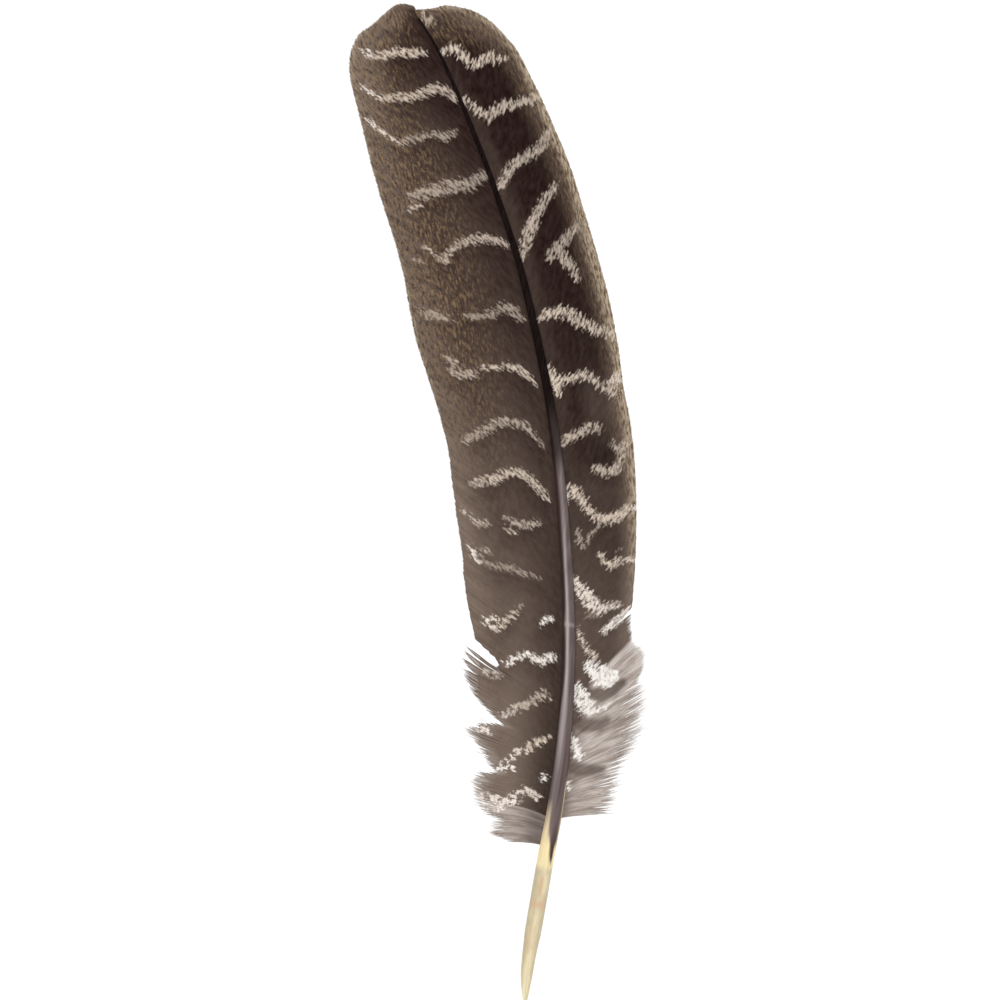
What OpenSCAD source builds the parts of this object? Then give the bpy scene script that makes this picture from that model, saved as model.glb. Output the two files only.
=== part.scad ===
// Quill pen cut from a broad, barred wing feather.
//
// Frame: millimetres. The origin is the middle of the writing edge. +Z runs up the
// barrel's axis towards the feather's tip, -Y is the feather's upper (convex) face,
// +Y its underside with the scoop of the nib, and +X the narrow outer vane.

/* [Barrel] */
// Outside radius of the horn barrel
barrel_r = 2.55; // [2.2:0.05:3]
// Thickness of the barrel's wall
wall = 0.4; // [0.3:0.05:0.5]
// Height at which the barrel becomes the solid shaft
barrel_top = 44; // [40:1:46]

/* [Nib] */
// Length of the slit, which is also the length of the two tines
slit_len = 9; // [7:0.5:11]
// Width of the slit at rest
slit_gap = 0.06; // [0.04:0.01:0.1]
// How far the writing edge sits to the side of the barrel's axis
point_shift = 1.2; // [0:0.1:1.2]
// Half the width of the writing edge
point_half = 0.6; // [0.4:0.1:0.9]
// Height at which the scoop leaves the back of the barrel
scoop_top = 27; // [25:1:27]
// Outside radius at the point, where the horn is scraped thinner
point_r = 2.45; // [2.35:0.05:2.5]
// Height at which the scraping ends and the round grip begins
scrape_top = 27.5; // [27.5:0.5:30]

/* [Shaft] */
// Thickness of the shaft's horn skin
skin = 0.3; // [0.25:0.05:0.35]
// Depth of the groove along the shaft's underside, as a share of its half depth
groove = 0.3; // [0.1:0.05:0.4]
// How far the feather's tip bends back out of the barrel's line
tip_bend = 16; // [8:1:20]

/* [Vanes] */
// Thickness of a vane
vane_t = 0.4; // [0.3:0.05:0.6]
// Fall of the inner vane's edge behind the shaft, as a share of the barb's length
inner_camber = 0.15; // [0.05:0.01:0.2]
// Fall of the outer vane's edge behind the shaft, as a share of the barb's length
outer_camber = 0.14; // [0.05:0.01:0.2]
// Gap left between neighbouring locks of barbs
lock_gap = 0.2; // [0.1:0.05:0.4]

/* [Hidden] */

bore_r = barrel_r - wall;
mid_r = (point_r + bore_r) / 2;
// The barrel's axis, seen from the writing edge.
axis_x = -point_shift;
axis_y = sqrt(mid_r * mid_r - point_shift * point_shift);
root_gap = 0.06;
cap_clear = 0.05;

// Shaft centre line, [height, sideways position].
shaft_x_tab = [[44, -1.2], [60, -1], [80, -1.9], [100, -3.9], [120, -7.2], [140, -11.8],
    [160, -17], [180, -23.3], [200, -31], [220, -39.6], [240, -50], [255, -58.6],
    [270, -68], [282, -76.2], [291, -84]];
// Half width of the shaft, [height, half width].
shaft_w_tab = [[44, 2.55], [60, 2.45], [80, 2.2], [100, 2], [130, 1.8], [160, 1.6],
    [200, 1.3], [240, 0.95], [270, 0.7], [291, 0.4]];
shaft_end = 290;
pith_end = 262;

// Barbs of each lock, [root height on the shaft, edge x, edge z].
inner_down_tab = [[47.5, -15.5, 46.5], [49.5, -20.3, 48], [51, -19.2, 51], [52.5, -19, 53],
    [54.3, -22.5, 55], [56.2, -26.3, 58]];
inner_tabs = [
    [[56.2, -25.5, 58.8], [58, -26.5, 60.8], [60, -27.3, 63.2], [62, -25, 65.6], [63.5, -21, 66.9]],
    [[63.5, -21.6, 67.3], [66, -26.7, 71], [68.5, -30, 74.8], [71, -32.2, 78.2], [72.3, -29, 80.3],
        [73, -22, 81]],
    [[73, -21.9, 81.8], [75.5, -26.5, 86], [78, -32.5, 90.5], [81, -34.8, 95.5], [84, -36, 99.5],
        [86, -36.5, 102.4], [87, -26, 100]],
    [[87, -26, 100.8], [90, -33, 105.4], [94, -36.2, 111], [99, -38.5, 117], [105, -40.5, 124],
        [112, -43, 131]],
    [[112, -43, 131], [121, -46, 141], [130, -49, 150.5], [140, -52.5, 161],
        [150, -56.5, 171]],
    [[150, -56.5, 171], [161, -61.5, 181.5], [172, -67.3, 192.5], [181, -71, 201.5],
        [190, -74.5, 211]],
    [[190, -74.5, 211], [200, -79, 220.5], [210, -84.2, 230.5], [221, -89.7, 241.5],
        [232, -94.6, 253]],
    [[232, -94.6, 253], [241, -98.2, 261.5], [252, -101.4, 269.5], [261, -102.3, 276],
        [269, -101.2, 282], [275.5, -97.3, 286.7], [282, -93, 292.3], [286, -91, 294.3],
        [288.5, -88.3, 294.5]]
];
outer_down_tab = [[56.5, 14, 59], [59, 16, 64], [63, 16, 71], [67, 17, 77], [71, 20, 83],
    [76, 20, 90], [80, 20, 96], [84, 17.5, 102]];
outer_tabs = [
    [[84, 17, 103.5], [88, 18, 109], [92, 14, 112.5], [98, 12.5, 117], [104, 12, 121.5]],
    [[104, 11.8, 123.5], [110, 11.3, 129.5], [120, 10, 141], [130, 8, 154]],
    [[130, 8, 154], [140, 5, 168], [150, 1.5, 180], [160, -2, 190]],
    [[160, -2, 190], [170, -5.5, 201], [182, -11, 215], [195, -17.5, 228.5]],
    [[195, -17.5, 228.5], [207, -23.5, 240.5], [220, -30, 253], [235, -38.5, 266.5]],
    [[235, -38.5, 266.5], [245, -46, 277.5], [254, -52.4, 286.8], [261, -57.5, 291.3],
        [268, -62.7, 294.4], [275, -68.5, 295.8], [282, -74.7, 296], [286, -78, 295.4],
        [288.5, -80.3, 293.2]]
];

// Smooth curve through a table of [position, value] pairs.
function steep(t, i) = let(a = max(i - 1, 0), b = min(i + 1, len(t) - 1))
    (t[b][1] - t[a][1]) / (t[b][0] - t[a][0]);
function smooth(t, v) = let(
    c = min(max(v, t[0][0]), t[len(t) - 1][0]),
    i = min(len(t) - 2, len([for (r = t) if (r[0] <= c) 1]) - 1),
    h = t[i + 1][0] - t[i][0], s = (c - t[i][0]) / h)
    (2*s*s*s - 3*s*s + 1) * t[i][1] + (s*s*s - 2*s*s + s) * h * steep(t, i)
    + (3*s*s - 2*s*s*s) * t[i + 1][1] + (s*s*s - s*s) * h * steep(t, i + 1);

function shaft_x(z) = z <= 44 ? axis_x : smooth(shaft_x_tab, z);
function shaft_y(z) = z <= 44 ? axis_y : axis_y + tip_bend * pow((z - 44) / 246, 2);
function shaft_w(z) = smooth(shaft_w_tab, z);

// One ring of the shaft: round where it leaves the barrel, squarer above it, with a
// groove along its underside. inset moves it inwards.
ring_n = 24;
function ring(z, inset) = let(w = shaft_w(z) - inset, e = 2 + 0.9 * min(1, (z - 44) / 40),
    g = groove * min(1, (z - 44) / 20))
    [for (i = [0:ring_n - 1]) let(a = 360 * i / ring_n, c = cos(a), s = sin(a),
        q = pow(pow(abs(c), e) + pow(abs(s), e), -1 / e),
        dip = s > 0 ? g * w * exp(-pow(c * q / 0.3, 2)) : 0)
        [shaft_x(z) + w * c * q, shaft_y(z) + w * s * q - dip, z]];

// Closed solid through a list of rings, each with the same number of points. flat says
// that the end rings are flat and star-shaped; otherwise each is a thin strip, closed by
// triangles from its one long side to the other.
module sweep(rings, flat = true) {
    n = len(rings[0]);
    m = len(rings);
    e = (m - 1) * n;
    strip = [for (i = [0:n / 2 - 2]) each [[i, i + 1, n - 2 - i], [i, n - 2 - i, n - 1 - i]]];
    polyhedron(
        points = [for (r = rings) for (p = r) p],
        faces = concat(
            flat ? [[for (i = [0:n - 1]) i]] : strip,
            [for (k = [0:m - 2]) for (i = [0:n - 1]) let(a = k*n + i, b = k*n + (i + 1) % n)
                [a, a + n, b]],
            [for (k = [0:m - 2]) for (i = [0:n - 1]) let(a = k*n + i, b = k*n + (i + 1) % n)
                [b, a + n, b + n]],
            flat ? [[for (i = [n - 1:-1:0]) e + i]] : [for (t = strip) [e + t[2], e + t[1], e + t[0]]]),
        convexity = 4);
}

// One lock of barbs: a thin curved slab whose rows are barbs, from the shaft to the edge.
// side is -1 for the inner vane and 1 for the outer one.
barb_n = 6;
function barb_point(r, ex, ez, side, camber, t) = let(
    rx = shaft_x(r) + side * (shaft_w(r) - 0.2),
    len = norm([ex - rx, ez - r]),
    x = rx + (ex - rx) * t,
    z = r + (ez - r) * t + 0.22 * len * t * (1 - t) * (side < 0 ? 1 : 0.35))
    [x, shaft_y(z) - 0.25 * shaft_w(r) + camber * len * pow(t, 1.8), z];
module lock(tab, side, camber, rows) {
    ex = [for (r = tab) [r[0], r[1]]];
    ez = [for (r = tab) [r[0], r[2]]];
    z0 = tab[0][0] + lock_gap / 2;
    z1 = tab[len(tab) - 1][0] - lock_gap / 2;
    grid = [for (k = [0:rows]) let(r = z0 + (z1 - z0) * k / rows)
        [for (j = [0:barb_n]) barb_point(r, smooth(ex, r), smooth(ez, r), side, camber, j / barb_n)]];
    rings = [for (g = grid) concat(
        [for (p = g) p],
        [for (j = [barb_n:-1:0]) g[j] + [0, vane_t, 0]])];
    if (side < 0) sweep([for (k = [rows:-1:0]) rings[k]], false);
    else sweep(rings, false);
}

// Outline of the nib, seen from above its convex side.
nib_half = [[-1, point_half], [0, point_half], [1, point_half + 0.25], [3, 1.2], [5.5, 1.55],
    [8, 1.85], [13, 2.1], [18, 2.35], [22, 2.6], [60, 2.7]];
function nib_x(z) = z < 16 ? point_shift * pow(1 - max(z, 0) / 16, 2) : 0;
nib_z = [-1, 0, 0.5, 1, 2, 3, 4, 5.5, 7, 8, 9, 10.5, 13, 15.5, 18, 20, 22, 60];
function nib_edge(z, side) = nib_x(z) + side * lookup(z, nib_half);

module nib_outline() {
    translate([0, 5, 0]) rotate([90, 0, 0]) linear_extrude(10) polygon(concat(
        [for (z = nib_z) [nib_edge(z, 1), z]],
        [for (i = [len(nib_z) - 1:-1:0]) [nib_edge(nib_z[i], -1), nib_z[i]]]));
}

// Everything on one side of the slit, below the tines' root.
module slit_side(side) {
    translate([0, 5, 0]) rotate([90, 0, 0]) linear_extrude(10) polygon(concat(
        [for (z = [-1, 0, 1, 2, 3, 4, 5, 6, 7, 8, slit_len - root_gap])
            [nib_x(z) + side * slit_gap / 2, z]],
        [[side * 6, slit_len - root_gap], [side * 6, -1]]));
}

// The scoop: the back of the barrel cut away towards the point.
module scoop() {
    translate([-5, 0, 0]) rotate([90, 0, 90]) linear_extrude(10) polygon([
        [3, scoop_top], [2.3, scoop_top - 2], [1.5, scoop_top - 5], [0.7, scoop_top - 8],
        [0.1, scoop_top - 11], [-0.3, 12], [-0.6, 9], [-0.8, 5], [-0.9, 0], [-0.9, -2],
        [4, -2], [4, scoop_top]]);
}

module barrel_tube() {
    difference() {
        union() {
            cylinder(h = scrape_top, r1 = point_r, r2 = barrel_r, $fn = 96);
            translate([0, 0, scrape_top])
                cylinder(h = barrel_top - scrape_top, r = barrel_r, $fn = 96);
        }
        translate([0, 0, -1]) cylinder(h = barrel_top + 2, r = bore_r, $fn = 96);
    }
}

module cut_tube() {
    difference() {
        intersection() {
            barrel_tube();
            nib_outline();
        }
        scoop();
    }
}

module at_axis() translate([axis_x, axis_y, 0]) children();

module quill_barrel() {
    color([0.88, 0.8, 0.62]) at_axis() difference() {
        cut_tube();
        translate([-6, -6, -1]) cube([12, 12, slit_len + 1]);
        // The opening on the underside, where the barrel ends.
        translate([0, 4, 41]) rotate([90, 0, 0]) cylinder(h = 4, r = 0.8, $fn = 48);
    }
}

module tine(side) {
    intersection() {
        cut_tube();
        slit_side(side);
    }
}

module left_tine() {
    color([0.84, 0.74, 0.52]) at_axis() tine(-1);
}

module right_tine() {
    color([0.84, 0.74, 0.52]) at_axis() tine(1);
}

// Dried membrane cups left in the upper barrel.
module pulp_caps() {
    r = bore_r - cap_clear;
    color([0.93, 0.9, 0.8]) at_axis() for (z = [30, 33.5, 37])
        translate([0, 0, z]) rotate_extrude($fn = 64) polygon([
            [0, 0], [0.9, 0.25], [1.6, 0.8], [r, 1.8], [r, 2.3], [r - 0.15, 2.3],
            [r - 0.15, 1.85], [1.5, 0.95], [0.85, 0.42], [0, 0.18]]);
}

// The scale that closes the small opening between barrel and shaft.
module umbilicus_cap() {
    color([0.8, 0.72, 0.55]) at_axis() translate([0, 0, 41]) rotate([-90, 0, 0])
        rotate_extrude($fn = 48) polygon([[0, 2.1], [0.74, 2.1], [0.74, 2.5], [0.5, 2.68], [0, 2.74]]);
}

module shaft_shell() {
    zs = [for (k = [0:28]) 44 + (shaft_end - 44) * k / 28];
    zi = [for (k = [0:25]) 43.9 + (pith_end - 43.9) * k / 25];
    color([0.3, 0.26, 0.28]) difference() {
        sweep([for (z = zs) ring(z, 0)]);
        sweep([for (z = zi) [for (p = ring(max(z, 44), skin)) [p[0], p[1], z]]]);
    }
}

module shaft_pith() {
    zi = [for (k = [0:25]) 44 + (pith_end - 0.1 - 44) * k / 25];
    color([0.92, 0.89, 0.82]) sweep([for (z = zi) ring(z, skin + 0.04)]);
}

brown = [0.31, 0.26, 0.22];
grey = [0.63, 0.58, 0.54];

module inner_down() { color(grey) lock(inner_down_tab, -1, inner_camber, 6); }
module inner_vane_1() { color(brown) lock(inner_tabs[0], -1, inner_camber, 6); }
module inner_vane_2() { color(brown) lock(inner_tabs[1], -1, inner_camber, 10); }
module inner_vane_3() { color(brown) lock(inner_tabs[2], -1, inner_camber, 12); }
module inner_vane_4() { color(brown) lock(inner_tabs[3], -1, inner_camber, 12); }
module inner_vane_5() { color(brown) lock(inner_tabs[4], -1, inner_camber, 10); }
module inner_vane_6() { color(brown) lock(inner_tabs[5], -1, inner_camber, 10); }
module inner_vane_7() { color(brown) lock(inner_tabs[6], -1, inner_camber, 10); }
module inner_vane_8() { color(brown) lock(inner_tabs[7], -1, inner_camber, 18); }
module outer_down() { color(grey) lock(outer_down_tab, 1, outer_camber, 14); }
module outer_vane_1() { color(brown) lock(outer_tabs[0], 1, outer_camber, 10); }
module outer_vane_2() { color(brown) lock(outer_tabs[1], 1, outer_camber, 8); }
module outer_vane_3() { color(brown) lock(outer_tabs[2], 1, outer_camber, 8); }
module outer_vane_4() { color(brown) lock(outer_tabs[3], 1, outer_camber, 8); }
module outer_vane_5() { color(brown) lock(outer_tabs[4], 1, outer_camber, 8); }
module outer_vane_6() { color(brown) lock(outer_tabs[5], 1, outer_camber, 16); }

quill_barrel();
left_tine();
right_tine();
pulp_caps();
umbilicus_cap();
shaft_shell();
shaft_pith();
inner_down();
inner_vane_1();
inner_vane_2();
inner_vane_3();
inner_vane_4();
inner_vane_5();
inner_vane_6();
inner_vane_7();
inner_vane_8();
outer_down();
outer_vane_1();
outer_vane_2();
outer_vane_3();
outer_vane_4();
outer_vane_5();
outer_vane_6();
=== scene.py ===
import math

import bpy
import numpy as np
from mathutils import Matrix, Vector


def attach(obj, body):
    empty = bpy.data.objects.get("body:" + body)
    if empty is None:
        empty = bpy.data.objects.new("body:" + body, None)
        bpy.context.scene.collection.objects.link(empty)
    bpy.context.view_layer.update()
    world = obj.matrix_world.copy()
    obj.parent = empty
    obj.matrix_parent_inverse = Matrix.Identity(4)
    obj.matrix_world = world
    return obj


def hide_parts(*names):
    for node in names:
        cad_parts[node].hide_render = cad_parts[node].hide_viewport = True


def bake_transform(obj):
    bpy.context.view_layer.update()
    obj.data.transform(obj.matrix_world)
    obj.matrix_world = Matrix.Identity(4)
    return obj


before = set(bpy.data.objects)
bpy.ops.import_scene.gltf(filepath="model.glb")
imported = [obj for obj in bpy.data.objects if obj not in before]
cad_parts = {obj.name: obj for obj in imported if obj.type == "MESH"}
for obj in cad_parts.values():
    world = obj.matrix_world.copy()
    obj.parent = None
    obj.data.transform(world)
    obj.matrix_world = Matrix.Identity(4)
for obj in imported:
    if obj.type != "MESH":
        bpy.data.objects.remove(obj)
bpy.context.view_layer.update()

rng = np.random.default_rng(20)
MM = 0.001

# ---------------------------------------------------------------- shape tables, in mm
AXIS_X, BARREL_R, POINT_R, BORE_R, SCRAPE_TOP = -1.2, 2.55, 2.45, 2.15, 27.5
AXIS_Y = math.sqrt(((POINT_R + BORE_R) / 2) ** 2 - AXIS_X**2)
SHAFT_X = np.array([(44, -1.2), (60, -1), (80, -1.9), (100, -3.9), (120, -7.2), (140, -11.8),
    (160, -17), (180, -23.3), (200, -31), (220, -39.6), (240, -50), (255, -58.6),
    (270, -68), (282, -76.2), (291, -84)], float)
SHAFT_W = np.array([(44, 2.55), (60, 2.45), (80, 2.2), (100, 2), (130, 1.8), (160, 1.6),
    (200, 1.3), (240, 0.95), (270, 0.7), (291, 0.4)], float)


def smooth(tab, v):
    """Hermite curve through (position, value) rows, as in the CAD."""
    tab = np.asarray(tab, float)
    x, y = tab[:, 0], tab[:, 1]
    m = np.empty_like(y)
    m[1:-1] = (y[2:] - y[:-2]) / (x[2:] - x[:-2])
    m[0] = (y[1] - y[0]) / (x[1] - x[0])
    m[-1] = (y[-1] - y[-2]) / (x[-1] - x[-2])
    c = np.clip(v, x[0], x[-1])
    i = np.clip(np.searchsorted(x, c, side="right") - 1, 0, len(x) - 2)
    h = x[i + 1] - x[i]
    s = (c - x[i]) / h
    return ((2 * s**3 - 3 * s**2 + 1) * y[i] + (s**3 - 2 * s**2 + s) * h * m[i]
        + (3 * s**2 - 2 * s**3) * y[i + 1] + (s**3 - s**2) * h * m[i + 1])


def shaft_x(z):
    return np.where(np.asarray(z) <= 44, AXIS_X, smooth(SHAFT_X, z))


def shaft_y(z):
    return AXIS_Y + 16 * (np.maximum(np.asarray(z, float) - 44, 0) / 246) ** 2


def shaft_w(z):
    return smooth(SHAFT_W, z)


def ease(a, b, v):
    t = np.clip((v - a) / (b - a), 0, 1)
    return t * t * (3 - 2 * t)


def wave(v, seed, scale, octaves=3):
    """Smooth repeatable 1-D noise of about +-1."""
    r = np.random.default_rng(seed)
    out, amp, tot = 0, 1.0, 0
    for k in range(octaves):
        for _ in range(3):
            f = (0.6 + 0.8 * r.random()) * 2**k / scale
            out = out + amp * np.sin(2 * np.pi * (np.asarray(v) * f + r.random()))
        tot += amp * 1.6
        amp *= 0.55
    return out / tot


def lattice(u, v, seed):
    """Value noise on a lattice, 0 to 1, for arrays u and v in cells."""
    iu, iv = np.floor(u).astype(int), np.floor(v).astype(int)
    fu, fv = u - iu, v - iv
    fu, fv = fu * fu * (3 - 2 * fu), fv * fv * (3 - 2 * fv)

    def h(a, b):
        n = (a * 374761393 + b * 668265263 + seed * 974634777) & 0x7FFFFFFF
        n = ((n ^ (n >> 13)) * 1274126177) & 0x7FFFFFFF
        return ((n ^ (n >> 16)) & 0xFFFFFF) / float(0xFFFFFF)

    return ((h(iu, iv) * (1 - fu) + h(iu + 1, iv) * fu) * (1 - fv)
        + (h(iu, iv + 1) * (1 - fu) + h(iu + 1, iv + 1) * fu) * fv)


# Locks of barbs: root height on the shaft, edge x, edge z.
INNER_DOWN = [(47.5, -15.5, 46.5), (49.5, -20.3, 48), (51, -19.2, 51), (52.5, -19, 53), (54.3, -22.5, 55), (56.2, -26.3, 58)]
INNER = [
    [(56.2, -25.5, 58.8), (58, -26.5, 60.8), (60, -27.3, 63.2), (62, -25, 65.6), (63.5, -21, 66.9)],
    [(63.5, -21.6, 67.3), (66, -26.7, 71), (68.5, -30, 74.8), (71, -32.2, 78.2), (72.3, -29, 80.3), (73, -22, 81)],
    [(73, -21.9, 81.8), (75.5, -26.5, 86), (78, -32.5, 90.5), (81, -34.8, 95.5), (84, -36, 99.5), (86, -36.5, 102.4), (87, -26, 100)],
    [(87, -26, 100.8), (90, -33, 105.4), (94, -36.2, 111), (99, -38.5, 117), (105, -40.5, 124), (112, -43, 131)],
    [(112, -43, 131), (121, -46, 141), (130, -49, 150.5), (140, -52.5, 161), (150, -56.5, 171)],
    [(150, -56.5, 171), (161, -61.5, 181.5), (172, -67.3, 192.5), (181, -71, 201.5), (190, -74.5, 211)],
    [(190, -74.5, 211), (200, -79, 220.5), (210, -84.2, 230.5), (221, -89.7, 241.5), (232, -94.6, 253)],
    [(232, -94.6, 253), (241, -98.2, 261.5), (252, -101.4, 269.5), (261, -102.3, 276), (269, -100.9, 282.1),
        (275.5, -96.8, 286.5), (282, -92.3, 292.1), (286, -90.4, 293.5), (288.3, -88.2, 293.9), (289.8, -85.6, 293.9)],
]
OUTER_DOWN = [(56.5, 14, 59), (59, 16, 64), (63, 16, 71), (67, 17, 77), (71, 20, 83), (76, 20, 90),
    (80, 20, 96), (84, 17.5, 102)]
OUTER = [
    [(84, 17, 103.5), (88, 18, 109), (92, 14, 112.5), (98, 12.5, 117), (104, 12, 121.5)],
    [(104, 11.8, 123.5), (110, 11.3, 129.5), (120, 10, 141), (130, 8, 154)],
    [(130, 8, 154), (140, 5, 168), (150, 1.5, 180), (160, -2, 190)],
    [(160, -2, 190), (170, -5.5, 201), (182, -11, 215), (195, -17.5, 228.5)],
    [(195, -17.5, 228.5), (207, -23.5, 240.5), (220, -30, 253), (235, -38.5, 266.5)],
    [(235, -38.5, 266.5), (245, -46, 277.5), (254, -52.4, 286.8), (261, -57.5, 291.3), (268, -62.7, 294.4),
        (275, -68.5, 295.9), (281, -75, 295.8), (285, -79.4, 294.2), (288, -82.8, 293.1), (289.8, -85.3, 292.6)],
]

# Pale bars: strength, then points along the bar (x, z, half width), in mm.
INNER_BARS = [
    (0.90, [(-79.3, 279.9, 0.82), (-83.5, 279.2, 1.48), (-88.1, 278.7, 1.48), (-92.4, 276.7, 1.32), (-95.4, 276.2, 1.15), (-98.1, 277.6, 0.99)]),
    (0.75, [(-67.1, 266.6, 0.66), (-70.0, 268.9, 1.48), (-74.1, 269.7, 1.65), (-77.5, 267.6, 1.48), (-81.5, 265.6, 1.48), (-85.7, 264.9, 1.48), (-89.2, 264.0, 1.15)]),
    (1.20, [(-90.4, 263.8, 0.49), (-93.8, 265.1, 0.49), (-96.8, 266.7, 0.49)]),
    (0.50, [(-66.1, 257.4, 0.99), (-68.8, 255.1, 1.48), (-72.6, 255.7, 0.99), (-75.8, 254.2, 1.15), (-79.8, 252.6, 1.32), (-82.1, 251.3, 0.99)]),
    (1.10, [(-81.4, 250.8, 0.58), (-87.1, 253.2, 0.58), (-90.8, 255.3, 0.58), (-93.6, 257.0, 0.49)]),
    (0.50, [(-55.1, 245.7, 1.48), (-58.8, 242.0, 1.98), (-63.3, 240.9, 2.14), (-67.6, 239.2, 2.31), (-71.9, 237.3, 2.14), (-75.7, 235.7, 1.65)]),
    (0.75, [(-73.4, 233.3, 0.99), (-75.6, 231.4, 0.82)]),
    (0.68, [(-44.3, 225.9, 0.99), (-47.4, 226.3, 1.32), (-50.9, 226.6, 1.48), (-54.8, 225.7, 1.65), (-58.3, 224.4, 1.32), (-60.9, 221.5, 1.15), (-62.7, 218.1, 0.99)]),
    (0.80, [(-62.3, 217.3, 0.66), (-66.4, 219.6, 0.66), (-70.1, 221.2, 0.49)]),
    (0.45, [(-68.5, 215.9, 0.49), (-71.9, 217.1, 0.49)]),
    (0.45, [(-36.5, 204.1, 1.15), (-39.3, 206.1, 1.81), (-42.0, 207.1, 1.48), (-44.3, 204.6, 1.32), (-48.4, 202.9, 1.15), (-52.9, 202.2, 0.99)]),
    (0.50, [(-58.7, 200.2, 1.15), (-62.3, 201.2, 1.48), (-65.3, 200.6, 1.32), (-67.1, 201.9, 0.82)]),
    (0.85, [(-28.8, 184.7, 0.49), (-31.1, 187.1, 0.99), (-34.1, 188.7, 1.32), (-37.3, 189.4, 0.99), (-41.5, 188.3, 0.82), (-45.7, 187.6, 0.82)]),
    (0.57, [(-47.8, 185.1, 1.32), (-51.4, 184.5, 1.65), (-54.5, 184.9, 1.32), (-53.8, 187.8, 0.99), (-57.0, 188.5, 0.82)]),
    (0.52, [(-23.5, 166.7, 0.49), (-26.6, 169.9, 0.82), (-29.7, 172.1, 1.32), (-33.8, 172.6, 1.32), (-38.0, 171.9, 1.48), (-41.5, 168.8, 1.65), (-44.3, 166.8, 1.48), (-46.7, 164.8, 1.32)]),
    (0.78, [(-19.4, 151.6, 0.99), (-21.8, 153.4, 1.32), (-24.8, 155.9, 1.32), (-27.5, 157.6, 1.32), (-30.3, 157.8, 1.48), (-33.8, 156.5, 1.32), (-36.2, 154.3, 1.65), (-39.2, 153.5, 1.48), (-42.0, 152.0, 1.15)]),
    (0.60, [(-20.8, 143.6, 0.99), (-23.1, 142.6, 1.32), (-26.1, 142.1, 1.32), (-28.7, 142.9, 0.99), (-30.7, 143.5, 0.66)]),
    (1.00, [(-27.5, 139.4, 0.66), (-30.2, 140.8, 0.49)]),
    (0.68, [(-36.4, 140.9, 0.99), (-38.2, 140.3, 0.99), (-40.9, 141.7, 0.49), (-44.0, 143.7, 0.49)]),
    (0.40, [(-17.0, 127.0, 0.49), (-20.2, 127.6, 0.66), (-23.9, 127.9, 0.99), (-26.6, 128.7, 1.48), (-29.6, 128.5, 0.99), (-33.3, 128.5, 0.82), (-36.7, 130.4, 0.82)]),
    (1.20, [(-36.2, 129.2, 0.82), (-38.4, 131.0, 0.82), (-40.4, 133.4, 0.66)]),
    (0.60, [(-34.0, 132.4, 0.82), (-36.3, 132.9, 0.66)]),
    (0.80, [(-21.6, 117.8, 0.49), (-23.3, 115.0, 0.99), (-25.3, 112.5, 1.15), (-26.9, 111.0, 0.99)]),
    (1.20, [(-27.5, 109.4, 0.82), (-30.3, 111.0, 0.99), (-32.0, 111.7, 0.66), (-29.1, 112.8, 0.82), (-27.2, 112.8, 0.66)]),
    (1.35, [(-11.9, 115.8, 0.82), (-13.7, 115.1, 0.99), (-14.6, 113.1, 0.49)]),
    (1.30, [(-9.3, 104.1, 1.32), (-10.9, 104.2, 1.32), (-12.4, 102.4, 1.32), (-14.3, 102.7, 1.15), (-17.0, 103.7, 0.99), (-19.6, 103.0, 0.99), (-21.7, 100.8, 1.15), (-23.1, 99.6, 0.82)]),
    (0.60, [(-24.3, 96.0, 0.82), (-26.8, 95.9, 0.99), (-29.3, 96.1, 0.66)]),
    (0.65, [(-8.4, 91.9, 0.66), (-10.5, 92.8, 1.48), (-12.2, 90.6, 1.48), (-15.0, 88.6, 1.32), (-17.5, 87.2, 1.48), (-19.9, 85.0, 1.32), (-21.7, 84.4, 0.66)]),
    (1.00, [(-6.4, 80.2, 0.49), (-8.3, 78.6, 1.15), (-10.8, 77.0, 1.32), (-12.7, 75.1, 1.48), (-15.3, 74.0, 0.82), (-16.9, 71.3, 0.82), (-18.8, 69.7, 0.82)]),
    (1.10, [(-28.2, 79.2, 0.99), (-26.4, 79.5, 1.15), (-24.4, 78.6, 0.66)]),
    (2.00, [(-15.9, 68.7, 0.66), (-18.3, 68.5, 0.66), (-20.1, 67.9, 0.49)]),
    (1.60, [(-5.9, 68.2, 0.99), (-6.3, 67.2, 0.82)]),
    (1.20, [(-6.5, 61.0, 0.82), (-8.6, 62.5, 1.15), (-11.2, 63.0, 1.15), (-13.8, 60.3, 0.99), (-16.4, 59.0, 0.82), (-19.6, 58.1, 0.49)]),
    (1.15, [(-23.7, 58.6, 1.48), (-21.4, 57.5, 2.31), (-18.6, 57.4, 2.31), (-15.5, 59.1, 1.48), (-13.0, 59.2, 0.99)]),
]
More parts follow.
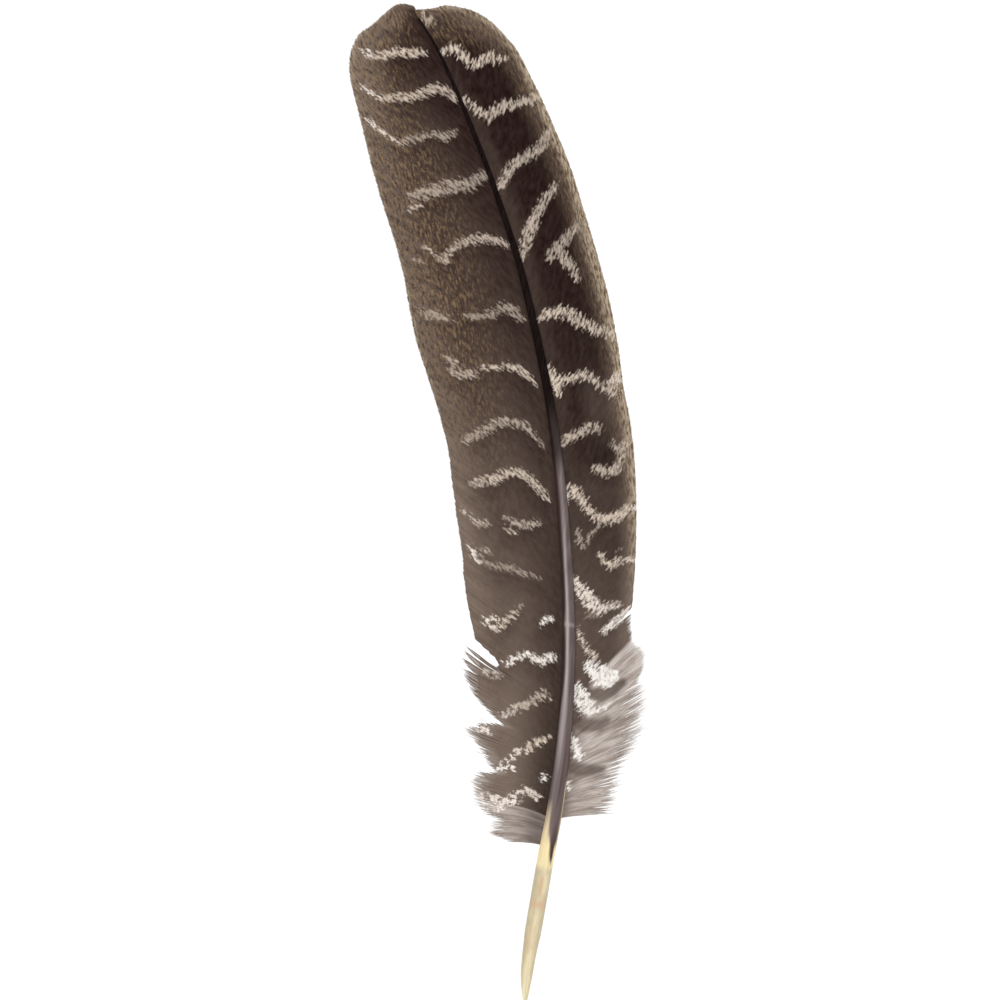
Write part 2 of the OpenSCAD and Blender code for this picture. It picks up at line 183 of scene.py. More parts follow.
OUTER_BARS = [
    (0.60, [(-81.8, 290.6, 1.32), (-79.5, 290.1, 1.48), (-80.0, 287.9, 0.66)]),
    (0.92, [(-74.1, 280.2, 1.15), (-72.5, 282.0, 1.65), (-70.5, 282.7, 1.65), (-68.0, 281.0, 1.48), (-65.6, 279.2, 1.32), (-63.6, 278.6, 1.32), (-61.8, 280.8, 1.48), (-59.9, 282.4, 1.48), (-57.6, 281.5, 1.15), (-55.3, 282.5, 0.99)]),
    (0.78, [(-65.5, 268.1, 0.99), (-63.1, 266.6, 0.99), (-59.7, 264.8, 1.32), (-56.6, 263.1, 1.15), (-55.5, 265.8, 1.65), (-53.7, 267.6, 1.81), (-50.4, 268.8, 1.65), (-47.6, 270.2, 1.48), (-44.8, 271.7, 1.48), (-43.2, 273.5, 0.99)]),
    (0.66, [(-49.6, 242.3, 1.15), (-49.2, 245.5, 1.48), (-47.6, 248.9, 1.65), (-45.6, 251.7, 1.81), (-43.2, 254.0, 1.65), (-41.0, 255.6, 1.65), (-39.1, 258.7, 1.65), (-38.2, 262.3, 1.48)]),
    (0.70, [(-39.3, 222.5, 0.66), (-39.1, 226.2, 1.65), (-38.8, 230.3, 2.14), (-38.0, 234.1, 1.81), (-37.1, 238.0, 1.48), (-35.8, 241.3, 1.48), (-34.1, 244.1, 1.48), (-33.3, 246.4, 0.99)]),
    (0.62, [(-31.0, 224.5, 1.48), (-29.7, 227.5, 1.65), (-27.9, 229.7, 1.65), (-26.5, 232.4, 1.48), (-25.0, 234.5, 1.32), (-24.7, 236.4, 0.66)]),
    (0.72, [(-27.9, 226.3, 1.65), (-26.0, 224.1, 1.81), (-23.8, 222.0, 1.48), (-21.8, 219.3, 1.15)]),
    (0.87, [(-30.5, 205.4, 1.15), (-28.4, 207.3, 1.65), (-25.4, 208.1, 1.98), (-22.3, 208.1, 1.98), (-19.0, 206.8, 1.98), (-15.7, 205.8, 1.81), (-13.1, 204.7, 1.65)]),
    (0.90, [(-11.6, 205.3, 1.48), (-9.4, 204.7, 1.48), (-7.6, 203.5, 0.99)]),
    (1.00, [(-25.8, 190.7, 1.15), (-24.2, 188.2, 1.98), (-22.4, 185.1, 1.98), (-20.8, 183.0, 0.49)]),
    (0.90, [(-22.0, 186.8, 1.48), (-20.1, 188.3, 1.48), (-17.8, 189.0, 1.32), (-15.5, 190.4, 1.48), (-13.5, 191.0, 1.32), (-11.4, 189.5, 1.15), (-9.3, 188.3, 1.15), (-7.1, 187.8, 1.32), (-5.0, 186.6, 1.32)]),
    (1.10, [(-5.8, 189.3, 1.65), (-4.4, 192.3, 1.48)]),
    (0.70, [(-18.0, 168.6, 0.99), (-16.4, 170.4, 1.48), (-14.5, 171.7, 1.48), (-12.3, 173.6, 1.65), (-10.2, 175.5, 1.48), (-7.6, 175.0, 1.32)]),
    (0.80, [(-6.2, 163.2, 1.32), (-4.0, 162.9, 1.65), (-1.8, 162.7, 1.65), (0.1, 164.3, 1.48), (0.6, 166.8, 1.15), (0.8, 169.3, 0.99)]),
    (0.70, [(-3.0, 171.8, 0.82), (-0.6, 170.0, 1.15), (1.2, 172.2, 1.32)]),
    (0.95, [(-13.3, 156.1, 1.15), (-11.6, 155.1, 1.98), (-9.5, 153.6, 1.48), (-6.8, 150.4, 1.32), (-4.0, 148.7, 1.48), (-0.9, 148.3, 1.81), (1.8, 149.1, 1.98), (3.9, 151.3, 1.81), (6.3, 153.3, 1.32)]),
    (1.35, [(-13.3, 150.5, 0.66), (-13.3, 153.9, 0.66)]),
    (0.52, [(-8.7, 143.6, 0.66), (-7.2, 140.4, 0.99), (-6.4, 139.0, 0.82), (-5.0, 141.7, 0.66), (-3.8, 144.1, 0.66), (-2.1, 146.9, 0.66)]),
    (1.00, [(-0.5, 137.2, 0.99), (1.1, 135.3, 0.99), (3.3, 134.8, 1.32), (5.2, 136.4, 1.32), (7.0, 137.0, 0.99), (9.0, 137.6, 0.82)]),
    (0.30, [(4.5, 139.0, 0.49), (5.2, 140.4, 0.49)]),
    (1.20, [(-7.7, 128.9, 0.82), (-5.8, 127.0, 1.65), (-3.3, 125.0, 2.14), (-0.7, 122.6, 2.31), (2.0, 121.0, 1.98), (4.5, 122.6, 1.15), (7.5, 123.4, 0.99)]),
    (1.10, [(-3.9, 114.1, 0.49), (-1.8, 111.0, 0.66), (0.5, 108.3, 0.82), (2.7, 106.5, 1.15)]),
    (0.25, [(-1.4, 119.1, 1.15), (1.5, 118.7, 0.99)]),
    (1.45, [(2.0, 103.3, 1.98), (4.7, 101.9, 2.96), (7.4, 100.5, 2.96), (9.4, 101.8, 1.98)]),
    (1.40, [(-0.9, 96.6, 1.48), (0.8, 94.1, 2.31), (2.4, 91.6, 2.80), (3.7, 89.7, 1.48)]),
    (1.50, [(2.4, 88.5, 0.66), (5.8, 90.3, 0.66), (10.0, 92.9, 0.49)]),
    (1.50, [(-0.2, 81.6, 0.82), (1.5, 79.1, 1.48), (3.5, 76.3, 1.48)]),
    (1.50, [(1.7, 67.1, 0.82), (2.2, 65.9, 0.66)]),
    (1.30, [(4.4, 114.6, 0.99), (7.7, 118.5, 1.32), (11.3, 122.6, 0.82)]),
]
DARK_SPOTS = [
    (1.00, [(3.0, 95.4, 1.48), (6.7, 95.5, 2.14), (10.1, 97.6, 1.98), (12.7, 100.2, 1.32)]),
    (0.90, [(0.1, 85.6, 1.32), (3.5, 85.6, 2.31), (7.7, 86.3, 1.98), (9.9, 88.0, 1.32)]),
    (0.80, [(0.3, 72.1, 1.32), (4.0, 72.1, 2.14), (8.2, 72.5, 1.81), (11.2, 73.3, 0.99)]),
    (1.00, [(-3.1, 105.8, 0.99), (-1.0, 95.4, 0.49), (-0.1, 84.7, 0.99), (0.8, 72.5, 0.99)]),
]

# ---------------------------------------------------------------- camera, light, floor
scene = bpy.context.scene
TILT = math.radians(9.8)
CENTRE = Vector((-33.4, 8.0, 148.6)) * MM
DIST = 1.6
cam_data = bpy.data.cameras.new("camera")
cam_data.type = "PERSP"
cam_data.sensor_width = 36
cam_data.lens = 36 * DIST / 0.305
cam_data.clip_start, cam_data.clip_end = 0.05, 50
cam = bpy.data.objects.new("camera", cam_data)
scene.collection.objects.link(cam)
right = Vector((math.cos(TILT), 0, math.sin(TILT)))
up = Vector((-math.sin(TILT), 0, math.cos(TILT)))
back = Vector((0, -1, 0))
cam.matrix_world = Matrix((
    (right.x, up.x, back.x, CENTRE.x + back.x * DIST),
    (right.y, up.y, back.y, CENTRE.y + back.y * DIST),
    (right.z, up.z, back.z, CENTRE.z + back.z * DIST),
    (0, 0, 0, 1)))
scene.camera = cam

scene.view_settings.view_transform = "Standard"
scene.view_settings.look = "None"
world = bpy.data.worlds.new("studio")
scene.world = world
world.use_nodes = True
world.node_tree.nodes["Background"].inputs["Color"].default_value = (1, 1, 1, 1)
world.node_tree.nodes["Background"].inputs["Strength"].default_value = 1.08


def area(name, place, target, size, power, colour=(1, 1, 1)):
    d = bpy.data.lights.new(name, "AREA")
    d.shape = "RECTANGLE"
    d.size, d.size_y = size
    d.energy = power
    d.color = colour
    o = bpy.data.objects.new(name, d)
    scene.collection.objects.link(o)
    o.location = place
    o.rotation_euler = (Vector(target) - Vector(place)).to_track_quat("-Z", "Y").to_euler()
    return o


area("key_light", (0.5, -0.95, 0.7), (-0.03, 0, 0.15), (0.5, 0.5), 2.6)
area("fill_light", (-0.8, -0.7, 0.35), (-0.03, 0, 0.15), (0.6, 0.6), 1.2)

floor_data = bpy.data.meshes.new("floor")
n = 64
floor_data.from_pydata(
    [(3 * math.cos(2 * math.pi * i / n), 3 * math.sin(2 * math.pi * i / n), 0) for i in range(n)], [],
    [list(range(n))])
floor = bpy.data.objects.new("floor", floor_data)
floor.location = (0, 0, -0.0005)
scene.collection.objects.link(floor)
white = bpy.data.materials.new("floor_paint")
white.use_nodes = True
white.node_tree.nodes["Principled BSDF"].inputs["Base Color"].default_value = (0.97, 0.97, 0.97, 1)
white.node_tree.nodes["Principled BSDF"].inputs["Roughness"].default_value = 0.9
floor_data.materials.append(white)

# ---------------------------------------------------------------- node helpers


class Nodes:
    def __init__(self, name):
        self.mat = bpy.data.materials.new(name)
        self.mat.use_nodes = True
        self.nt = self.mat.node_tree
        self.p = self.nt.nodes["Principled BSDF"]

    def new(self, kind, **props):
        node = self.nt.nodes.new(kind)
        for k, v in props.items():
            setattr(node, k, v)
        return node

    def put(self, value, socket):
        if isinstance(value, bpy.types.NodeSocket):
            self.nt.links.new(value, socket)
        else:
            socket.default_value = value

    def attr(self, name, out="Fac"):
        return self.new("ShaderNodeAttribute", attribute_type="GEOMETRY", attribute_name=name).outputs[out]

    def math(self, op, a, b=0.0, c=0.0, clamp=False):
        n = self.new("ShaderNodeMath", operation=op, use_clamp=clamp)
        for v, s in zip((a, b, c), n.inputs):
            self.put(v, s)
        return n.outputs[0]

    def span(self, v, a, b, c=0.0, d=1.0):
        n = self.new("ShaderNodeMapRange", interpolation_type="SMOOTHSTEP")
        for x, s in zip((v, a, b, c, d), n.inputs[:5]):
            self.put(x, s)
        return n.outputs[0]

    def mix(self, fac, a, b, blend="MIX"):
        n = self.new("ShaderNodeMix", data_type="RGBA", blend_type=blend)
        self.put(fac, n.inputs[0])
        for v, s in ((a, n.inputs[6]), (b, n.inputs[7])):
            self.put((*v, 1) if isinstance(v, tuple) and len(v) == 3 else v, s)
        return n.outputs[2]

    def noise(self, vector, scale=1.0, detail=2.0, rough=0.5):
        n = self.new("ShaderNodeTexNoise")
        self.put(vector, n.inputs["Vector"])
        n.inputs["Scale"].default_value = scale
        n.inputs["Detail"].default_value = detail
        n.inputs["Roughness"].default_value = rough
        return n.outputs["Fac"]

    def scaled(self, vector, by, add=(0, 0, 0)):
        n = self.new("ShaderNodeMapping")
        self.put(vector, n.inputs["Vector"])
        n.inputs["Scale"].default_value = by
        n.inputs["Location"].default_value = add
        return n.outputs[0]

    def obj(self):
        return self.new("ShaderNodeTexCoord").outputs["Object"]

    def bump(self, height, strength, distance):
        n = self.new("ShaderNodeBump")
        self.put(height, n.inputs["Height"])
        n.inputs["Strength"].default_value = strength
        n.inputs["Distance"].default_value = distance
        self.nt.links.new(n.outputs[0], self.p.inputs["Normal"])

    def set(self, **kw):
        for k, v in kw.items():
            self.put((*v, 1) if isinstance(v, tuple) and len(v) == 3 and k != "Subsurface_Radius" else v,
                self.p.inputs[k.replace("_", " ")])


def srgb(r, g, b):
    def f(c):
        c /= 255
        return c / 12.92 if c <= 0.04045 else ((c + 0.055) / 1.055) ** 2.4
    return (f(r), f(g), f(b))


# ---------------------------------------------------------------- materials
DARK, LIGHT = (33, 18, 16), (124, 108, 97)


def vane_material():
    m = Nodes("barb_brown")
    bar, glow, tone, rim, pale, mottle, groove = (m.attr(a) for a in
        ("bar", "glow", "tone", "rim", "pale", "mottle", "groove"))
    along = m.attr("along", "Vector")
    blotch = m.noise(m.scaled(along, (0.4, 0.45, 0)), 1.0, 3.0, 0.6)
    fleck = m.noise(m.scaled(along, (1.1, 0.5, 0), (5, 9, 0)), 1.0, 3.0, 0.6)
    vein = m.noise(m.scaled(along, (0.9, 0.6, 0), (31, 17, 0)), 1.0, 3.0, 0.6)
    streak = m.noise(m.scaled(along, (0.45, 1.15, 0), (2, 4, 0)), 1.0, 2.0, 0.5)
    fine = m.noise(m.scaled(along, (2.5, 4.0, 0), (8, 1, 0)), 1.0, 2.0, 0.5)
    patch = m.noise(m.scaled(along, (0.8, 0.9, 0), (3, 40, 0)), 1.0, 2.0, 0.5)
    sweep = m.noise(m.scaled(along, (0.09, 0.6, 0), (7, 3, 0)), 1.0, 3.0, 0.55)
    tone2 = m.math("ADD", tone, m.math("MULTIPLY", m.math("SUBTRACT", blotch, 0.5), 0.3), clamp=True)
    ground = m.mix(tone2, srgb(*DARK), srgb(*LIGHT))
    ground = m.mix(m.math("MULTIPLY", m.span(vein, 0.46, 0.64), m.math("MULTIPLY", mottle, 0.75)), ground,
        srgb(48, 33, 24))
    ground = m.mix(m.math("MULTIPLY", m.span(fleck, 0.46, 0.66), m.math("MULTIPLY", mottle, 0.75)), ground,
        srgb(138, 114, 86))
    edge = m.mix(m.span(fleck, 0.35, 0.62), srgb(96, 74, 52), srgb(188, 172, 150))
    ground = m.mix(rim, ground, edge)
    rough = m.math("ADD", m.math("MULTIPLY", m.math("SUBTRACT", fine, 0.5), 0.8),
        m.math("ADD", m.math("MULTIPLY", m.math("SUBTRACT", streak, 0.5), 2.4),
            m.math("MULTIPLY", m.math("SUBTRACT", patch, 0.5), 3.2)))
    low = m.span(tone, 0.55, 0.85)
    rough = m.math("MULTIPLY", rough, m.math("ADD", m.span(glow, 1.0, 1.7, 1.0, 0.7), m.math("MULTIPLY", low, 0.5)))
    shape = m.math("ADD", bar, rough)
    much = m.math("MULTIPLY", m.span(shape, 0.2, 1.4), m.math("MULTIPLY", glow, m.math("ADD", 1.02, m.math("MULTIPLY", low, 0.06))))
    much = m.math("MULTIPLY", much, m.span(bar, 0.0, 0.5))
    much = m.math("MINIMUM", much, 1.0)
    cream = m.mix(m.span(glow, 1.0, 1.5), srgb(214, 198, 182), srgb(238, 233, 228))
    cream = m.mix(m.math("MULTIPLY", low, 0.8), cream, srgb(236, 226, 218))
    cream = m.mix(m.span(vein, 0.42, 0.66, 0.0, 0.4), cream, srgb(150, 132, 116))
    colour = m.mix(much, ground, cream)
    down = m.mix(m.span(sweep, 0.3, 0.7), srgb(150, 136, 127), srgb(194, 184, 177))
    line = m.noise(m.scaled(along, (0.14, 1.7, 0), (17, 5, 0)), 1.0, 2.0, 0.5)
    down = m.mix(m.span(line, 0.48, 0.66, 0.0, 0.35), down, srgb(212, 204, 198))
    down = m.mix(m.span(line, 0.5, 0.34, 0.0, 0.3), down, srgb(128, 115, 107))
    down = m.mix(m.math("MINIMUM", m.math("MULTIPLY", much, 1.3), 1.0), down, cream)
    # Painted light: the outer fifth of each downy barb is lightened towards near-white, standing for light showing
    # through the thin tips.
    down = m.mix(m.math("MULTIPLY", m.span(m.attr("reach"), 0.8, 1.0), 0.75), down, srgb(226, 220, 216))
    colour = m.mix(pale, colour, down)
    # Painted shade: each barb is darkened along its flanks, where it meets its neighbours, less so on the pale down;
    # the fine noise adds random tone.
    deep = m.math("MULTIPLY", groove, m.math("SUBTRACT", 0.28, m.math("MULTIPLY", pale, 0.2)))
    dark = m.math("SUBTRACT", 1.0, deep)
    dark = m.math("MULTIPLY", dark, m.math("ADD", 0.9, m.math("MULTIPLY", fine, 0.2)))
    shade = m.new("ShaderNodeCombineColor")
    for i in range(3):
        m.put(dark, shade.inputs[i])
    colour = m.mix(1.0, colour, shade.outputs[0], "MULTIPLY")
    m.set(Base_Color=colour, Roughness=0.75, Specular_IOR_Level=0.03)
    m.bump(m.noise(m.scaled(along, (9.0, 2.0, 0)), 1.0, 1.0, 0.5), 0.3, 0.0001)
    return m.mat


def shaft_material():
    m = Nodes("shaft_horn")
    pig, painted_highlight_and_ring, cream, painted_shade_and_wedge = m.attr("pigment"), m.attr("painted_highlight_and_ring"), m.attr("cream"), m.attr("painted_shade_and_wedge")
    grain = m.noise(m.scaled(m.obj(), (2500, 2500, 60)), 1.0, 3.0, 0.6)
    broad = m.noise(m.scaled(m.obj(), (700, 700, 40)), 1.0, 2.0, 0.5)
    grey = m.mix(m.span(broad, 0.35, 0.7), srgb(86, 74, 72), srgb(102, 89, 87))
    # painted highlight: a pale grey stripe along the shaft; the pale ring mark at 115 mm shares its mask
    grey = m.mix(painted_highlight_and_ring, grey, srgb(164, 154, 153))
    # painted shade on the shaft's left side and right edge; the dark pigment wedge at the foot shares this mask
    grey = m.mix(painted_shade_and_wedge, grey, srgb(56, 44, 42))
    black = m.mix(m.span(grain, 0.3, 0.7), srgb(9, 4, 3), srgb(19, 11, 9))
    colour = m.mix(pig, grey, black)
    horn = m.mix(m.span(broad, 0.3, 0.7), srgb(206, 184, 150), srgb(226, 208, 172))
    horn = m.mix(m.attr("bright"), horn, srgb(232, 214, 164))
    horn = m.mix(m.attr("foot"), horn, m.mix(m.span(broad, 0.3, 0.7), srgb(180, 165, 134), srgb(196, 183, 153)))
    colour = m.mix(cream, colour, horn)
    colour = m.mix(m.span(grain, 0.4, 0.75, 0.0, 0.25), colour, srgb(46, 36, 36))
    m.set(Base_Color=colour, Roughness=0.5, Specular_IOR_Level=0.03)
    m.bump(grain, 0.25, 0.0001)
    return m.mat


def horn_material():
    m = Nodes("barrel_horn")
    o = m.obj()
    sep = m.new("ShaderNodeSeparateXYZ")
    m.put(o, sep.inputs[0])
    z = sep.outputs[2]
    grain = m.noise(m.scaled(o, (2200, 2200, 120)), 1.0, 3.0, 0.55)
    cloud = m.noise(m.scaled(o, (420, 420, 160)), 1.0, 3.0, 0.6)
    base = m.mix(m.span(cloud, 0.35, 0.7), srgb(180, 165, 134), srgb(196, 183, 153))
    # Painted highlight: a pale streak down the front of the barrel, paler still near the point.
    base = m.mix(m.math("MULTIPLY", m.attr("highlight_streak"), m.span(cloud, 0.3, 0.6, 0.6, 1.0)), base, srgb(222, 209, 172))
    base = m.mix(m.math("MULTIPLY", m.span(z, 0.015, 0.004), m.attr("highlight_streak")), base, srgb(216, 208, 172))
    base = m.mix(m.math("MULTIPLY", m.attr("blush"), m.span(cloud, 0.3, 0.62, 0.3, 1.0)), base, srgb(198, 156, 124))
    base = m.mix(m.math("MULTIPLY", m.attr("band"), 0.8), base, srgb(232, 214, 164))
    base = m.mix(m.span(grain, 0.42, 0.75, 0.0, 0.4), base, srgb(170, 154, 122))
    # Painted shade: the barrel's left and right flanks are darkened towards grey-green.
    base = m.mix(m.math("MULTIPLY", m.attr("edge"), 0.7), base, srgb(156, 148, 116))
    base = m.mix(m.attr("pigment"), base, srgb(72, 54, 46))
    m.set(Base_Color=base, Roughness=0.36, Specular_IOR_Level=0.3, Subsurface_Weight=0.15,
        Coat_Weight=0.08, Coat_Roughness=0.2)
    m.p.inputs["Subsurface Radius"].default_value = (1.0, 0.6, 0.3)
    m.p.inputs["Subsurface Scale"].default_value = 0.001
    m.bump(grain, 0.3, 0.00008)
    return m.mat


def membrane_material():
    m = Nodes("membrane")
    n = m.noise(m.scaled(m.obj(), (900, 900, 900)), 1.0, 3.0, 0.6)
    m.set(Base_Color=m.mix(m.span(n, 0.3, 0.7), srgb(222, 212, 186), srgb(244, 238, 220)), Roughness=0.45,
        Subsurface_Weight=0.2)
    m.p.inputs["Subsurface Scale"].default_value = 0.0008
    m.bump(n, 0.4, 0.0001)
    return m.mat


def pith_material():
    m = Nodes("pith_foam")
    n = m.noise(m.scaled(m.obj(), (2500, 2500, 2500)), 1.0, 2.0, 0.6)
    m.set(Base_Color=m.mix(m.span(n, 0.3, 0.7), srgb(222, 214, 196), srgb(244, 240, 228)), Roughness=0.85)
    m.bump(n, 0.6, 0.0002)
    return m.mat


MAT_VANE, MAT_SHAFT, MAT_HORN = vane_material(), shaft_material(), horn_material()
MAT_MEMBRANE, MAT_PITH = membrane_material(), pith_material()


def link(name, verts, faces, mat, attrs=None, smooth_faces=True):
    me = bpy.data.meshes.new(name)
    verts = np.asarray(verts, np.float32) * MM
    faces = np.asarray(faces, np.int32)
    me.vertices.add(len(verts))
    me.vertices.foreach_set("co", verts.ravel())
    if faces.ndim == 2:
        k = faces.shape[1]
        me.loops.add(faces.size)
        me.loops.foreach_set("vertex_index", faces.ravel())
        me.polygons.add(len(faces))
        me.polygons.foreach_set("loop_start", np.arange(0, faces.size, k, dtype=np.int32))
        me.polygons.foreach_set("loop_total", np.full(len(faces), k, np.int32))
    me.update(calc_edges=True)
    me.validate()
    if smooth_faces:
        me.polygons.foreach_set("use_smooth", np.ones(len(me.polygons), bool))
    for key, val in (attrs or {}).items():
        val = np.asarray(val, np.float32)
        if val.ndim == 2:
            a = me.attributes.new(key, "FLOAT_VECTOR", "POINT")
            a.data.foreach_set("vector", val.ravel())
        else:
            a = me.attributes.new(key, "FLOAT", "POINT")
            a.data.foreach_set("value", val)
    me.materials.append(mat)
    ob = bpy.data.objects.new(name, me)
    scene.collection.objects.link(ob)
    return ob


# ---------------------------------------------------------------- barbs
ROWS = 44


def bar_mask(x, z, bars, soft=1.2):
    """Where the pale bars lie, 0 to 1, and how strong the bar there is."""
    out, glow = np.zeros_like(x), np.zeros_like(x)
    for strength, pts in bars:
        p = np.array(pts)
        if (x.max() < p[:, 0].min() - 4 or x.min() > p[:, 0].max() + 4 or z.max() < p[:, 1].min() - 4
                or z.min() > p[:, 1].max() + 4):
            continue
        best = np.full_like(x, -9.0)
        for a, b in zip(p[:-1], p[1:]):
            d = b[:2] - a[:2]
            t = np.clip(((x - a[0]) * d[0] + (z - a[1]) * d[1]) / (d @ d + 1e-9), 0, 1)
            dist = np.hypot(x - a[0] - t * d[0], z - a[1] - t * d[1])
            best = np.maximum(best, (a[2] + (b[2] - a[2]) * t) - dist)
        m = ease(-soft, soft, best)
        glow = np.where(m > out, strength, glow)
        out = np.maximum(out, m)
    return out, glow


def barb_paths(roots, ex, ez, side, camber, turn0, turn1, upto, start=0.0, m=ROWS):
    """Centre lines of barbs: N x m x 3, between the shares start and upto of the way to the edge, with their full
    lengths and the share at each point."""
    rx = shaft_x(roots) + side * (shaft_w(roots) - 0.45)
    dx, dz = side * (ex - rx), ez - roots
    length = np.hypot(dx, dz)
    ang = np.arctan2(dz, dx)
    a0, a1 = ang + np.radians(turn0), ang + np.radians(turn1)
    t = start + np.linspace(0, 1, m)[None, :] * (upto[:, None] - start)

    def row(v):
        return np.asarray(v)[:, None]

    p0x, p0z = row(rx), row(roots)
    p1x, p1z = row(rx + side * 0.36 * length * np.cos(a0)), row(roots + 0.36 * length * np.sin(a0))
    p2x, p2z = row(ex - side * 0.33 * length * np.cos(a1)), row(ez - 0.33 * length * np.sin(a1))
    p3x, p3z = row(ex), row(ez)
    b0, b1, b2, b3 = (1 - t) ** 3, 3 * t * (1 - t) ** 2, 3 * t * t * (1 - t), t**3
    x = b0 * p0x + b1 * p1x + b2 * p2x + b3 * p3x
    z = b0 * p0z + b1 * p1z + b2 * p2z + b3 * p3z
    y = shaft_y(z) - 0.25 * row(shaft_w(roots)) + camber * row(length) * t**1.8
    return np.stack([x, y, z], -1), length, t


def barb_strips(name, P, width, top, mat, attrs, lean=0.03):
    """One closed tapered strip for each barb. P: N x m x 3; width: N x m half widths; top: N x m heights of each barb's
    raised middle line.
    """
    N, m = P.shape[:2]
    T = np.gradient(P, axis=1)
    T /= np.linalg.norm(T, axis=2, keepdims=True) + 1e-9
    face = np.array([0.0, -1.0, 0.0])
    S = np.cross(T, face)
    S /= np.linalg.norm(S, axis=2, keepdims=True) + 1e-9
    F = np.cross(S, T)
    w, h = width[..., None], top[..., None]
    ring = np.stack([P - S * w - F * lean, P + F * h, P + S * w + F * lean, P - F * h * 2.2], 2)
    verts = ring.reshape(-1, 3)
    base = (np.arange(N)[:, None, None] * m + np.arange(m - 1)[None, :, None]) * 4
    j = np.arange(4)[None, None, :]
    jn = (j + 1) % 4
    quads = np.stack([base + j, base + 4 + j, base + 4 + jn, base + jn], -1).reshape(-1, 4)
    s = np.arange(N)[:, None] * m * 4
    cap0 = s + np.array([[0, 1, 2, 3]])
    cap1 = s + (m - 1) * 4 + np.array([[3, 2, 1, 0]])
    # The winding is set right afterwards, where the caller hands the mesh to outward().
    faces = np.concatenate([quads, cap0, cap1])
    full = {}
    for key, val in attrs.items():
        val = np.asarray(val)
        if val.ndim == 3 and val.shape[2] == 4:
            full[key] = val.reshape(-1)
        elif val.ndim == 3:
            full[key] = np.repeat(val[:, :, None, :], 4, axis=2).reshape(-1, 3)
        else:
            full[key] = np.repeat(val[:, :, None], 4, axis=2).reshape(-1)
    ob = link(name, verts, faces, mat, full)
    return ob


def outward(ob):
    """Make sure a closed mesh's faces point outwards."""
    import bmesh
    bm = bmesh.new()
    bm.from_mesh(ob.data)
    if bm.calc_volume(signed=True) < 0:
        bmesh.ops.reverse_faces(bm, faces=bm.faces)
        bm.to_mesh(ob.data)
    bm.free()
    return ob


COUNT = [0]


